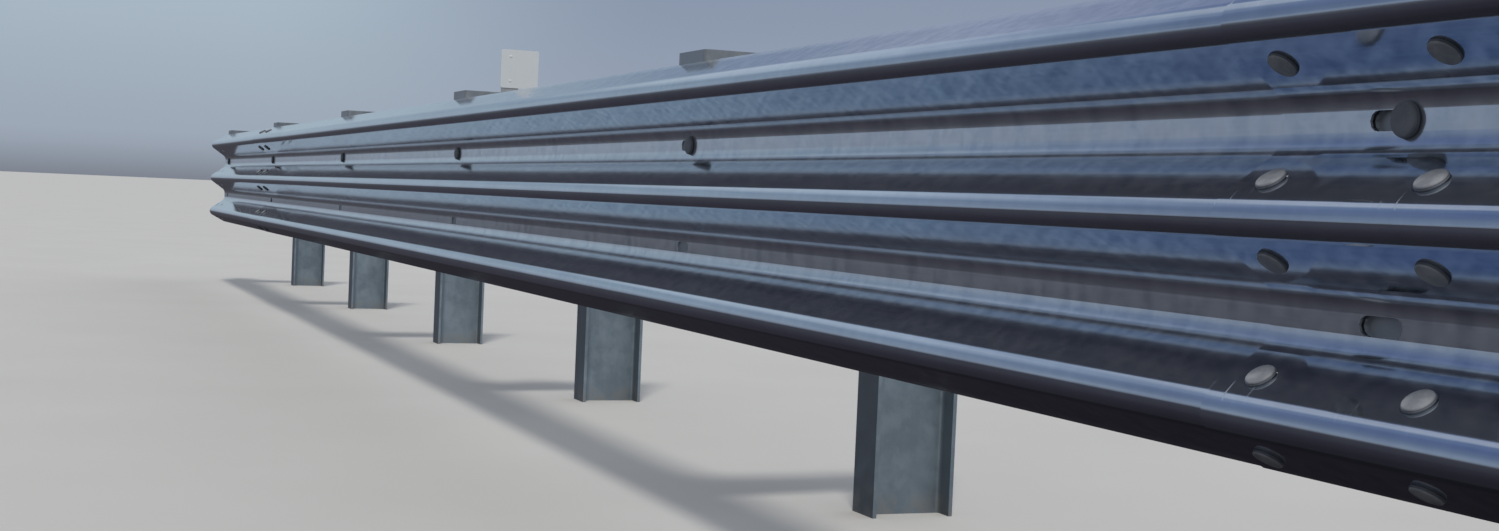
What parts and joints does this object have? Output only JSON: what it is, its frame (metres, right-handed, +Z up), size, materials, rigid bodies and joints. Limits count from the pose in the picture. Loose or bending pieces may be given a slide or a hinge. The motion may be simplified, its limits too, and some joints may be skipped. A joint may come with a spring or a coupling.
{
  "type": "three-wave highway guardrail section",
  "caption": "Three-wave rolled steel guardrail on bent spacer brackets and H-section posts, lapped and slotted for bolts, with a plain square traffic marker.",
  "frame": {"origin": "on the foot face of the middle post, in the middle of its web, at ground level", "axes": "+X along the rail towards the end that traffic meets first, -Y towards the road, +Z up"},
  "size_m": [11.748, 0.6366, 1.0109],
  "materials": {
    "rolled_beam": "new hot-dip galvanised sheet, smooth with a faint spangle",
    "post": "galvanised, matt",
    "bracket": "galvanised, matt",
    "strap": "galvanised flat bar",
    "marker": "plain white sheeting on plate",
    "bolts": "galvanised bolts, nuts and washers"
  },
  "bodies": {
    "root": {"near_beam": "rolled_beam", "middle_beam": "rolled_beam", "far_beam": "rolled_beam", "post_1": "post", "post_2": "post", "post_3": "post", "post_4": "post", "post_5": "post", "post_6": "post", "post_7": "post", "spacer_bracket_1": "bracket", "spacer_bracket_2": "bracket", "spacer_bracket_3": "bracket", "spacer_bracket_4": "bracket", "spacer_bracket_5": "bracket", "spacer_bracket_6": "bracket", "spacer_bracket_7": "bracket", "marker_strap": "strap", "marker_plate": "marker"}
  },
  "joints": []
}
